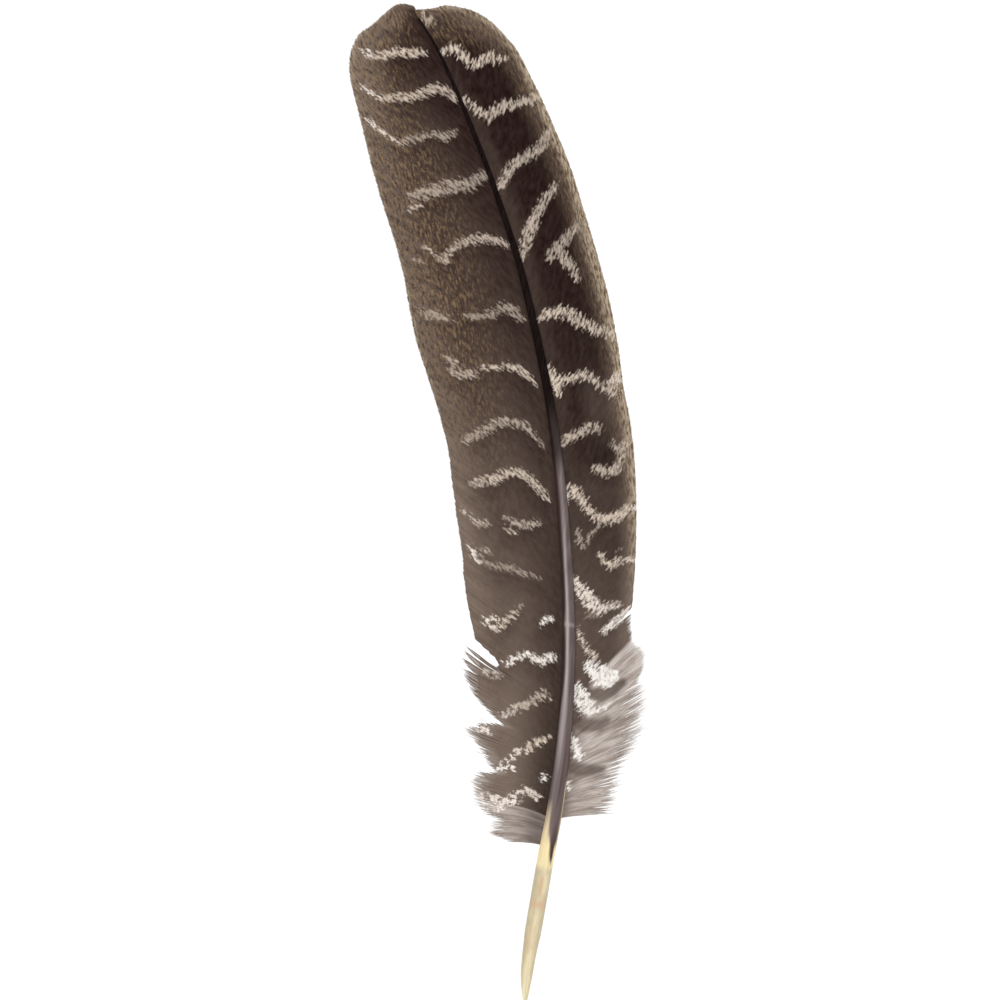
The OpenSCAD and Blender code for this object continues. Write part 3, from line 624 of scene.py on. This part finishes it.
def lock(name, node, tab, side, camber, bars, turn=(14, 6), pitch=0.38, ragged=0.3, swell=0.15, tone=None, rim=None,
        pale=None, mottle=None, env=None, share=None, taper=1.2, nicks=(9, 0.05, 0.25, 0.8, 0.94), cut=0.0, gaps=(),
        loose=0.03, over=1.5, fine_tip=0.12, start=0.0):
    """Barbs of one lock. nicks is the mean root distance between small splits in the edge, the least and most their
    barbs part, in mm, and the least and most share of the length where a split starts; gaps lists larger splits as
    (root height, share, parting). The barbs beside a nick are up to cut mm shorter."""
    tab = np.array(tab, float)
    z0, z1 = tab[0, 0], tab[-1, 0]
    n = max(4, int(round((z1 - z0) / pitch)))
    seed = int(z0 * 10) + (0 if side < 0 else 5000) + int(900 * start)
    r = np.random.default_rng(seed)
    roots = z0 + (z1 - z0) * (np.arange(n) + 0.5) / n
    if env is not None:
        tab = np.array(env, float)
    ex, ez = smooth(tab[:, [0, 1]], roots), smooth(tab[:, [0, 2]], roots)
    rx = shaft_x(roots)
    span = np.hypot(ex - rx, ez - roots)
    splits = [(c, t0, gap, 0.9) for c, t0, gap in gaps]
    splits += [(c, r.uniform(*nicks[3:]), r.uniform(*nicks[1:3]), r.uniform(0.1, 0.25) * nicks[0])
        for c in r.uniform(z0, z1, max(1, int((z1 - z0) / nicks[0])))]
    reach = r.normal(0, ragged, n) + swell * wave(roots, seed + 1, 3.0)
    for c, t0, gap, far in splits:
        reach -= cut * r.uniform(0.4, 1.2) * np.exp(-(((roots - c) / 0.35) ** 2))
    upto = 1 + reach / span
    if share is not None:
        upto = upto + np.interp(roots, *np.array(share, float).T) - 1
    P, length, t = barb_paths(roots, ex, ez, side, camber, *turn, upto, start)
    m = P.shape[1]
    across = np.gradient(P, axis=0) if n > 1 else np.ones_like(P)
    T = np.gradient(P, axis=1)
    T /= np.linalg.norm(T, axis=2, keepdims=True)
    side_vec = np.cross(T, [0, -1, 0])
    side_vec /= np.linalg.norm(side_vec, axis=2, keepdims=True)
    spacing = np.maximum(np.abs((across * side_vec).sum(2)), 0.12)
    up = side_vec * np.sign((side_vec[..., 2:3]).mean())
    move = np.zeros((n, m))
    for c, t0, gap, far in splits:
        d = roots - c
        move += (np.sign(d) * np.exp(-np.abs(d) / far))[:, None] * 0.5 * gap * np.clip((t - t0) / (1 - t0), 0, 1.1) ** 1.4
    move += 0.05 * wave(t * length[:, None] + 0 * roots[:, None], seed + 3, 9.0) * t
    move += loose * r.normal(0, 1, n)[:, None] * t**2.5
    P = P + up * move[..., None]
    lift = (0.005 + 0.4 * loose) * r.normal(0, 1, n)[:, None] * t**2 + 0.2 * wave(roots, seed + 4, 14.0)[:, None] * t**2
    P[..., 1] += lift - (0.25 if start else 0)
    along = t * length[:, None]
    left = along[:, -1:] - along
    tip = np.clip(left / (taper * (0.6 + 0.8 * r.random(n)))[:, None], 0, 1) ** 0.75
    width = 0.5 * spacing * over * (fine_tip + (1 - fine_tip) * tip)
    top = (0.06 + 0.02 * r.random(n))[:, None] * (0.3 + 0.7 * tip) * (1 - 0.35 * t)
    jit = (0.2 * r.normal(0, 1, n) + 0.35 * wave(roots, seed + 6, 0.9) + 0.7 * wave(roots, seed + 5, 2.4))[:, None]
    qx = P[..., 0] + T[..., 0] * jit
    qz = P[..., 2] + T[..., 2] * jit
    z, x = P[..., 2], P[..., 0]
    idx = (COUNT[0] + np.arange(n))[:, None] + 0 * t
    COUNT[0] += n + 7
    where_at = (roots[:, None] + 0 * t, t + 0 * along, x, z)
    bar, glow = bar_mask(qx, qz, bars)

    def field(f):
        return np.clip(f(*where_at), 0, 1) if f else 0 * along

    # The vane is darkest just below each bar and lightest just above it.
    below = np.maximum(bar_mask(qx, qz + 2.2, bars, 2.0)[0], 0.7 * bar_mask(qx, qz + 4.5, bars, 2.4)[0])
    above = bar_mask(qx, qz - 3.0, bars, 2.0)[0] * (1 - below)
    inner = (side < 0) * ease(1.0, 0.6, t) * ease(75, 110, z)
    tones = np.clip(field(tone) * (1 - 0.42 * inner * below) + 0.05 * inner * above, 0, 1)
    attrs = {
        "bar": bar, "glow": glow, "tone": tones, "rim": field(rim), "pale": field(pale),
        "mottle": field(mottle) * (1 - 0.45 * inner * below),
        "along": np.stack([along, idx * pitch, 0 * along], -1), "reach": t + 0 * along,
        # Each barb's flanks are marked for painted shade between neighbouring barbs.
        "groove": np.stack([np.ones((n, m)), np.zeros((n, m)), 0.4 * np.ones((n, m)), np.zeros((n, m))], 2),
    }
    ob = outward(barb_strips(name, P, width, top, MAT_VANE, attrs))
    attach(ob, "pen")
    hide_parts(node)
    return ob


def blend(t, z, near, mid, edge, a=0.45, c=0.55):
    """Tone across a vane from (height, tone) rows for its barbs' roots, middles and ends."""
    near, mid, edge = (np.interp(z, *zip(*rows)) for rows in (near, mid, edge))
    return near + (mid - near) * ease(0.05, a, t) + (edge - mid) * ease(c, 1, t)


def inner_tone(r, t, x, z):
    """Darkest beside the shaft, lighter outwards and down the vane."""
    return blend(t, z, [(60, 0.19), (150, 0.19), (200, 0.13), (240, 0.08), (260, 0.05)],
        [(63, 0.9), (76, 0.83), (88, 0.78), (103, 0.57), (118, 0.53), (133, 0.43), (145, 0.33), (160, 0.37), (174, 0.33),
            (192, 0.26), (210, 0.23), (262, 0.23), (276, 0.1), (290, 0.1)],
        [(60, 1), (150, 1), (180, 0.78), (250, 0.8), (268, 1.25), (290, 0.8)], a=0.55 + 0.15 * ease(240, 270, z))


def inner_mottle(r, t, x, z):
    return ease(0.15, 0.7, t - 0.12 * ease(240, 270, z)) * (0.1 + 0.9 * ease(130, 215, z)) * (0.2 + 0.8 * ease(60, 110, z)) * (
        ease(289.5, 287, r))


def inner_rim(r, t, x, z):
    return 0.6 * ease(0.93, 1.0, t) * ease(120, 200, z) * ease(287.5, 286, r)


def outer_tone(r, t, x, z):
    tone = blend(t, z, [(85, 0.5), (115, 0.48), (130, 0.32), (160, 0.18), (200, 0.15), (240, 0.2), (260, 0.15), (280, 0.1)],
        [(100, 0.45), (113, 0.42), (130, 0.33), (142, 0.2), (156, 0.26), (166, 0.08), (190, 0.07), (215, 0.04), (290, 0.03)],
        [(60, 1), (130, 0.9), (200, 0.6), (290, 0.5)], a=0.25, c=0.6)
    return tone + 0.2 * np.exp(-(((z - 182) / 9) ** 2)) * ease(0.25, 0.5, t) + 0.3 * ease(282, 292, z)


def outer_mottle(r, t, x, z):
    return np.maximum(ease(0.6, 0.95, t) * ease(120, 190, z), ease(280, 290, z))


def outer_rim(r, t, x, z):
    return ease(0.78 + 0.08 * ease(235, 250, z), 0.97, t) * ease(115, 160, z) * (1 - 0.2 * ease(278, 290, z))


# The full sweep of the lowest barbs, and how far along it each one really reaches.
INNER_FULL = [(46.8, -19, 44.5), (52, -24, 52), (56.2, -26.8, 58.5), (60, -28, 63.5), (66, -29.5, 72), (71, -32.5, 79),
    (75.5, -34.5, 87), (81, -36, 95.5), (86, -37, 102.6), (92, -38, 110.5), (99, -39.5, 118.5), (105, -41, 124.5),
    (112, -43, 131)]
INNER_SHARE = [(47, 0.45), (48.2, 0.76), (49.4, 0.92), (51, 0.8), (52.6, 0.68), (53.4, 0.85), (55.5, 0.97), (59.8, 0.97),
    (61.8, 0.93), (62.8, 0.78), (63.5, 0.7), (65.2, 0.8), (67.5, 0.87), (69, 0.92), (70.2, 0.99), (71.6, 0.95), (73.6, 0.75),
    (74.6, 0.62), (75.3, 0.65), (76.2, 0.75), (77.5, 0.85), (79.3, 0.96), (83.1, 0.98), (86.4, 0.97), (86.9, 0.66),
    (87.8, 0.63), (89.2, 0.68), (90.2, 0.88), (93.9, 0.93), (98.1, 0.97), (105, 0.99), (112, 0.97), (121, 0.985),
    (130, 0.985), (137, 0.975), (142, 0.97), (150, 0.985), (161, 1), (181, 0.995), (200, 0.985), (221, 0.985), (241, 0.995),
    (261, 1), (290, 1)]
OUTER_FULL = [(54.5, 15, 57), (59, 16.5, 64), (63, 17, 71), (67, 18.5, 78), (71, 20, 85), (76, 21, 93), (80, 21, 99.5),
    (84, 20.5, 104.5), (88, 20, 109.5), (92, 16, 113), (98, 13, 117.5), (104, 12, 121.8)]
OUTER_SHARE = [(56, 0.98), (59.3, 1.0), (62.1, 1.03), (64.5, 0.95), (66.5, 0.93), (68, 1.0), (70.1, 1.04), (72.2, 1.04),
    (74.5, 0.98), (78.2, 0.98), (84.2, 0.87), (88.6, 0.93), (90.1, 1), (92, 0.96), (94.1, 0.94), (100, 0.99), (104, 1),
    (130, 1), (150, 1), (160, 0.98), (195, 1.02), (240, 1.03), (250, 1.01), (258, 0.98), (270, 0.99), (290, 1)]


def inner_pale(r, t, x, z):
    """Loose tips of the lowest locks turn pale and grey."""
    return 0.85 * ease(0.7, 1.0, t / t[:, -1:]) * ease(100, 66, z)


def wisp_pale(r, t, x, z):
    return 1 + 0 * t


# Larger splits between the lowest barbs of the inner vane: root height, share of the length, parting in mm.
INNER_GAPS = [(48.6, 0.7, 0.8), (57.8, 0.75, 0.8), (61.5, 0.6, 1.0), (72.4, 0.7, 1.0), (82.3, 0.7, 1.0), (84.4, 0.5, 1.3),
    (85.9, 0.4, 1.3)]
for k, tab in enumerate(INNER):
    low = k < 3
    own = [g for g in INNER_GAPS if tab[0][0] < g[0] < tab[-1][0]]
    lock(f"inner_barbs_{k + 1}", f"inner_vane_{k + 1}", tab, -1, 0.15, INNER_BARS, env=INNER_FULL if k < 4 else None,
        share=INNER_SHARE, ragged=0.3 if low else 0.12, swell=0.4 if low else 0.06, tone=inner_tone, rim=inner_rim,
        mottle=inner_mottle, taper=4.0 if low else 1.0, nicks=(1.3, 0.15, 0.6, 0.84, 0.95) if low else (14, 0.03, 0.15, 0.86, 0.95),
        cut=0.7 if low else 0.0, gaps=own, loose=0.1 if low else 0.02, over=1.6 if low else 1.9, pale=inner_pale if low else None)
    if low:
        lock(f"inner_wisps_{k + 1}", f"inner_vane_{k + 1}", tab, -1, 0.15, [], env=INNER_FULL, share=INNER_SHARE, pitch=0.5,
            ragged=1.0, swell=0.5, tone=inner_tone, pale=wisp_pale, taper=5.0, gaps=own, loose=0.6, over=0.4, start=0.82)


def outer_pale(r, t, x, z):
    """The fringe below the last brown block."""
    line = z - 104.8 - 1.43 * (x - 7)
    return ease(0.8, -1.2, line) * ease(2.0, 4.5, x) * (1 - 0.8 * bar_mask(x, z, DARK_SPOTS, 0.9)[0])


def fringe_pale(r, t, x, z):
    return (0.35 + 0.65 * ease(0.02, 0.3, t)) * (1 - 0.75 * bar_mask(x, z, DARK_SPOTS, 1.1)[0])


for k, tab in enumerate(OUTER):
    low = k < 1
    lock(f"outer_barbs_{k + 1}", f"outer_vane_{k + 1}", tab, 1, 0.14, OUTER_BARS, turn=(2, 2) if low else (-8, 8),
        env=OUTER_FULL if low else None, share=OUTER_SHARE, ragged=0.2 if low else 0.1, swell=0.3 if low else 0.06,
        tone=outer_tone, rim=outer_rim, mottle=outer_mottle, pale=outer_pale if low else None,
        taper=3.0 if low else 0.9, nicks=(1.8, 0.1, 0.5, 0.8, 0.95) if low else (14, 0.03, 0.15, 0.86, 0.95),
        cut=0.4 if low else 0.0, loose=0.05 if low else 0.015, over=1.7 if low else 2.1)


def inner_down_pale(r, t, x, z):
    return 0.3 + 0.7 * ease(0.1, 0.8, t)


DOWN_SPLITS = (1.5, 0.3, 1.0, 0.7, 0.93)
lock("inner_down_barbs", "inner_down", INNER_DOWN, -1, 0.15, INNER_BARS, pitch=0.24, ragged=0.5, swell=0.4,
    env=INNER_FULL, share=INNER_SHARE, tone=inner_tone, pale=inner_down_pale, taper=5.0, nicks=(1.2, 0.2, 0.7, 0.75, 0.93),
    cut=0.8, gaps=INNER_GAPS[:1], loose=0.25, over=1.7)
lock("outer_down_barbs", "outer_down", OUTER_DOWN, 1, 0.14, OUTER_BARS, turn=(8, -2), pitch=0.24, ragged=0.6, swell=0.5,
    env=OUTER_FULL, share=OUTER_SHARE, tone=outer_tone, pale=fringe_pale, taper=6.0, nicks=DOWN_SPLITS, cut=1.2,
    loose=0.3, over=1.7)
lock("outer_down_wisps", "outer_down", OUTER_DOWN, 1, 0.14, [], turn=(8, -2), pitch=0.75, ragged=1.1, swell=0.6,
    env=OUTER_FULL, share=OUTER_SHARE, tone=outer_tone, pale=wisp_pale, taper=6.0, nicks=DOWN_SPLITS,
    loose=0.8, over=0.4, start=0.75)
lock("inner_down_wisps", "inner_down", INNER_DOWN, -1, 0.15, [], pitch=0.3, ragged=1.2, swell=0.5,
    env=INNER_FULL, share=INNER_SHARE, tone=inner_tone, pale=wisp_pale, taper=5.0, loose=0.7, over=0.4, start=0.7)

# ---------------------------------------------------------------- shaft


def grid_faces(rows, cols, close):
    i = np.arange(rows - 1)[:, None]
    j = np.arange(cols if close else cols - 1)[None, :]
    jn = (j + 1) % cols
    return np.stack([i * cols + j, i * cols + jn, (i + 1) * cols + jn, (i + 1) * cols + j], -1).reshape(-1, 4)


# How far the pale horn reaches across the shaft from the left, -1 to 1, at each height.
WEDGE = [(38, 1.3), (41, 0.85), (42, 0.62), (43.5, 0.45), (45.3, 0.3), (48, 0.16), (50, -0.05), (52, -0.25), (56, -0.37),
    (62, -0.42)]


def build_shaft():
    nz, na = 420, 72
    z = 44 + (290.0 - 44) * (np.arange(nz) / (nz - 1)) ** 1.0
    a = 2 * np.pi * np.arange(na) / na
    Z, A = np.meshgrid(z, a, indexing="ij")
    w = shaft_w(Z)
    e = 2 + 0.9 * np.clip((Z - 44) / 40, 0, 1)
    c, s = np.cos(A), np.sin(A)
    q = (np.abs(c) ** e + np.abs(s) ** e) ** (-1 / e)
    g = 0.3 * np.clip((Z - 44) / 20, 0, 1)
    dip = np.where(s > 0, g * w * np.exp(-((c * q / 0.3) ** 2)), 0)
    # A low ridge beside the middle of the upper face, and shallow flutes on either side.
    up = np.clip(-s, 0, 1)
    side = c * q
    flute = 0.05 * w * up * (np.exp(-(((side - 0.12) / 0.22) ** 2)) - 0.8 * np.exp(-(((side + 0.45) / 0.2) ** 2)))
    flute = flute * ease(48, 80, Z)
    rr = w * q * (1 + 0.006 * wave(Z + 20 * c, 91, 12.0))
    X = shaft_x(Z) + rr * c
    Y = shaft_y(Z) + rr * s - dip - flute
    verts = np.stack([X, Y, Z], -1).reshape(-1, 3)
    quads = grid_faces(nz, na, True)
    # ends: fans written as quads, pairing neighbouring triangles
    ends = []
    for row, flip in ((0, False), (nz - 1, True)):
        o = row * na
        for k in range(1, na - 2, 2):
            f = [o, o + k, o + k + 1, o + k + 2]
            ends.append(f if flip else f[::-1])
    faces = np.concatenate([quads, np.array(ends)])
    zz = Z.reshape(-1)
    ang = side.reshape(-1)
    back = s.reshape(-1)
    pig = 0.72 * ease(156, 167, zz) + 0.28 * ease(170, 184, zz)
    # Painted highlight: a pale stripe along the upper face. Its place across the shaft and its width change with
    # height, and it fades out where the shaft turns black.
    highlight_side = -0.28 + 0.28 * ease(128, 150, zz) + 0.5 * ease(152, 166, zz) - 0.1 * ease(95, 80, zz)
    broad = 0.26 + 0.16 * ease(100, 82, zz) + 0.1 * ease(135, 150, zz)
    painted_highlight_and_ring = np.exp(-(((ang - highlight_side) / broad) ** 2)) * (back < 0.3) * (0.2 + 0.6 * ease(66, 84, zz) + 0.2 * ease(86, 100, zz))
    painted_highlight_and_ring = painted_highlight_and_ring * (1 - 0.25 * ease(118, 135, zz) - 0.42 * ease(135, 150, zz)) * ease(172, 160, zz)
    # Painted shade: the shaft's left side is darkened up to a boundary (rim) that moves with height, and its right edge
    # is darkened. A thin dark line runs beside the highlight, and the dark pigment wedge on the right at the foot goes
    # into the same mask.
    rim = -0.9 + 0.35 * ease(84, 102, zz) + 0.1 * ease(135, 160, zz) - 0.25 * np.exp(-(((zz - 115) / 4) ** 2))
    painted_shade_and_wedge = ease(0.14, -0.2, ang - rim) * ease(60, 72, zz) + 0.5 * ease(0.85, 1.0, ang) * ease(64, 72, zz)
    painted_shade_and_wedge = painted_shade_and_wedge + 0.7 * ease(56, 47, zz) * ease(0.0, 0.5, ang)
    painted_shade_and_wedge = painted_shade_and_wedge + 0.3 * np.exp(-(((ang - 0.3) / 0.1) ** 2)) * ease(58, 66, zz) * ease(100, 90, zz)
    # The horn turns pale at the foot, on the left first, with a dark wedge left on the right.
    cream = np.clip((62 - zz) / 10, 0, 1) * ease(0.16, -0.16, ang - np.interp(zz, *zip(*WEDGE)))
    cream = np.maximum(cream, 0.8 * ease(0.8, 0.95, ang) * ease(70, 64, zz))
    cream = np.maximum(cream, ease(0.68, 0.82, ang) * ease(50, 46.5, zz))
    under = ease(0.1, 0.6, back)
    cream = np.clip(np.maximum(cream, under * ease(250, 90, zz) * 0.85), 0, 1)
    # A pale ring mark at 114.9 mm is added into the same mask as the painted highlight.
    ring = np.exp(-(((zz - 114.9) / 0.6) ** 2)) * (np.abs(ang) < 0.8) * (back < 0.2)
    ob = outward(link("shaft_horn", verts, faces, MAT_SHAFT, {"pigment": pig, "painted_highlight_and_ring": np.clip(painted_highlight_and_ring + 0.45 * ring, 0, 1),
        "cream": cream, "painted_shade_and_wedge": np.clip(painted_shade_and_wedge, 0, 1), "bright": 0.8 * ease(52, 47, zz) * ease(0.4, -0.2, back),
        "foot": ease(66, 45, zz) * ease(-0.2, 0.4, back)}))
    me = ob.data
    edge_ends = np.zeros(len(me.edges) * 2, np.int32)
    me.edges.foreach_get("vertices", edge_ends)
    ring_of = edge_ends.reshape(-1, 2) // na
    rims = (ring_of[:, 0] == ring_of[:, 1]) & np.isin(ring_of[:, 0], (0, nz - 1))
    me.edges.foreach_set("use_edge_sharp", rims)
    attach(ob, "pen")
    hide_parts("shaft_shell")
    return ob


build_shaft()

# ---------------------------------------------------------------- barrel and nib
NIB_HALF = [(-1, 0.6), (0, 0.6), (1, 0.85), (3, 1.2), (5.5, 1.55), (8, 1.85), (13, 2.1), (18, 2.35), (22, 2.6),
    (60, 2.7)]
SCOOP = [(0, -0.9), (5, -0.8), (9, -0.6), (12, -0.3), (16, 0.1), (19, 0.7), (22, 1.5), (25, 2.3), (27, 3.0)]
SLIT, GAP = 9.0, 0.06


def nib_x(z):
    return np.where(z < 16, 1.2 * (1 - np.clip(z, 0, 16) / 16) ** 2, 0)


def limits(z, r):
    """Lowest and highest angle, from the middle of the upper face, that the wall keeps at height z."""
    half = np.where(z < 22, smooth(NIB_HALF, z), 2.65)
    cut = smooth(SCOOP, z)
    back = np.where(cut >= r, np.pi, np.arccos(np.clip(-cut / r, -1, 1)))
    lo = np.where(nib_x(z) - half <= -r, -np.pi, np.arcsin(np.clip((nib_x(z) - half) / r, -1, 1)))
    hi = np.where(nib_x(z) + half >= r, np.pi, np.arcsin(np.clip((nib_x(z) + half) / r, -1, 1)))
    return np.maximum(-back, lo), np.minimum(back, hi)


def wall_piece(name, zs, lo, hi, na, mat, closed_above=None):
    """A piece of the barrel's wall between angles lo and hi (arrays over zs), with its thickness."""
    nz = len(zs)
    f = np.linspace(0, 1, na)[None, :]
    A = lo[:, None] + (hi - lo)[:, None] * f
    Z = np.repeat(zs[:, None], na, 1)
    thin = 0.45 + 0.55 * ease(0, 2.5, Z)
    Ro = (POINT_R + (BARREL_R - POINT_R) * np.minimum(Z / SCRAPE_TOP, 1)) * (1 + 0.0012 * wave(Z + 9 * np.sin(A), 61, 11.0))
    Ri = Ro - (Ro - BORE_R) * thin
    pts = []
    for R in (Ro, Ri):
        pts.append(np.stack([AXIS_X + R * np.sin(A), AXIS_Y - R * np.cos(A), Z], -1).reshape(-1, 3))
    verts = np.concatenate(pts)
    off = nz * na
    q = grid_faces(nz, na, False)
    faces = [q, q[:, ::-1] + off]
    i = np.arange(nz - 1)
    for col, flip in ((0, True), (na - 1, False)):
        a, b = i * na + col, (i + 1) * na + col
        f4 = np.stack([a, b, b + off, a + off], -1)
        faces.append(f4[:, ::-1] if flip else f4)
    j = np.arange(na - 1)
    for row, flip in ((0, False), (nz - 1, True)):
        a, b = row * na + j, row * na + j + 1
        f4 = np.stack([a, b, b + off, a + off], -1)
        faces.append(f4[:, ::-1] if flip else f4)
    faces = np.concatenate(faces)
    ang, zz = np.tile(A.reshape(-1), 2), np.tile(Z.reshape(-1), 2)
    wedge = ease(-0.16, 0.16, np.sin(ang) - np.interp(zz, *zip(*WEDGE))) * (np.cos(ang) > -0.2) * ease(40.5, 44, zz)
    wedge = wedge * ease(0.82, 0.68, np.sin(ang))
    s = np.sin(ang)
    # Painted highlight: for each height, where a pale streak lies across the front of the barrel, how wide it is and
    # how strong it is.
    place, width, force = (np.interp(zz, *zip(*rows)) for rows in
        ([(0, 0.25), (12, 0.1), (25, 0.0), (31, 0.1), (36, 0.5), (44, 0.1)], [(0, 0.35), (20, 0.4), (36, 0.4), (44, 0.7)],
            [(0, 1), (10, 0.9), (18, 0.6), (26, 0.7), (30, 0.3), (34, 0.8), (40, 0.6)]))
    highlight_streak = force * np.exp(-(((s - place) / width) ** 2)) * (np.cos(ang) > -0.2)
    blush = 0.7 * np.exp(-(((zz - 29.5) / 1.3) ** 2)) + 0.8 * np.exp(-(((s - 0.02) / 0.2) ** 2)) * ease(31, 33, zz) * ease(40, 37, zz)
    blush = blush + 0.25 * np.exp(-(((s + 0.25) / 0.25) ** 2)) * ease(14, 17, zz) * ease(26, 22, zz)
    # The edge mask is painted shade on the barrel's flanks, strongest at the far left and right as seen from the front.
    ob = link(name, verts, faces, mat, {"pigment": np.clip(wedge, 0, 1), "highlight_streak": np.clip(highlight_streak, 0, 1),
        "blush": np.clip(blush, 0, 1) * ease(-0.5, 0.3, np.cos(ang)), "edge": np.clip(np.abs(s), 0, 1) ** 5 * ease(-0.75, 0.1, np.cos(ang)) * ease(43, 39.5, zz),
        "band": ease(39.5, 42, zz) * ease(-0.4, 0.2, np.cos(ang))})
    import bmesh
    bm = bmesh.new()
    bm.from_mesh(ob.data)
    bmesh.ops.remove_doubles(bm, verts=bm.verts, dist=1e-7)
    bmesh.ops.dissolve_degenerate(bm, edges=bm.edges, dist=1e-7)
    seen, doomed = {}, []
    # Where the wall closes on itself at the back, the two end faces meet and both go.
    doomed += [fc for fc in bm.faces if all(abs(v.co.x - AXIS_X * MM) < 1e-7 and v.co.y > AXIS_Y * MM for v in fc.verts)]
    bmesh.ops.delete(bm, geom=doomed, context="FACES_ONLY")
    doomed = []
    for fc in bm.faces:
        key = frozenset(v.index for v in fc.verts)
        if key in seen:
            doomed += [fc, seen[key]]
        seen[key] = fc
    bmesh.ops.delete(bm, geom=list(set(doomed)), context="FACES_ONLY")
    bmesh.ops.recalc_face_normals(bm, faces=bm.faces)
    for e in bm.edges:
        if len(e.link_faces) == 2 and e.calc_face_angle(0) > math.radians(40):
            e.smooth = False
    bm.to_mesh(ob.data)
    bm.free()
    return ob


CUT = 12.0
# Rows close together where the shoulders step in and where the scoop closes.
steps = np.linspace(18, 22, 4001)
shoulder = steps[np.argmax(smooth(NIB_HALF, steps) >= BARREL_R)]
zs = np.sort(np.concatenate([np.linspace(CUT, 24.6, 60), [shoulder - 0.004, shoulder + 0.004],
    np.linspace(24.62, 26.2, 80), np.linspace(26.4, 44, 50)]))
lo, hi = limits(zs, BARREL_R)
barrel = wall_piece("barrel_horn", zs, lo, hi, 97, MAT_HORN)
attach(barrel, "pen")
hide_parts("quill_barrel")
zs = np.concatenate([[0, 0.1], np.linspace(0.25, CUT, 60)])
lo, hi = limits(zs, BARREL_R)
mid = np.arcsin(nib_x(zs) / BARREL_R)
half_gap = np.where(zs < SLIT, 0.5 * GAP, 0.0) * ease(SLIT, SLIT - 0.6, zs) / BARREL_R
for side, body in ((-1, "left_tine"), (1, "right_tine")):
    if side < 0:
        tine = wall_piece("left_half_nib", zs, lo, mid - half_gap, 25, MAT_HORN)
    else:
        tine = wall_piece("right_half_nib", zs, mid + half_gap, hi, 25, MAT_HORN)
    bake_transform(tine)
    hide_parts(body)

for node, mat in (("pulp_caps", MAT_MEMBRANE), ("umbilicus_cap", MAT_HORN), ("shaft_pith", MAT_PITH)):
    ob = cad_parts[node]
    for s in ob.material_slots:
        s.material = mat

bpy.context.view_layer.update()
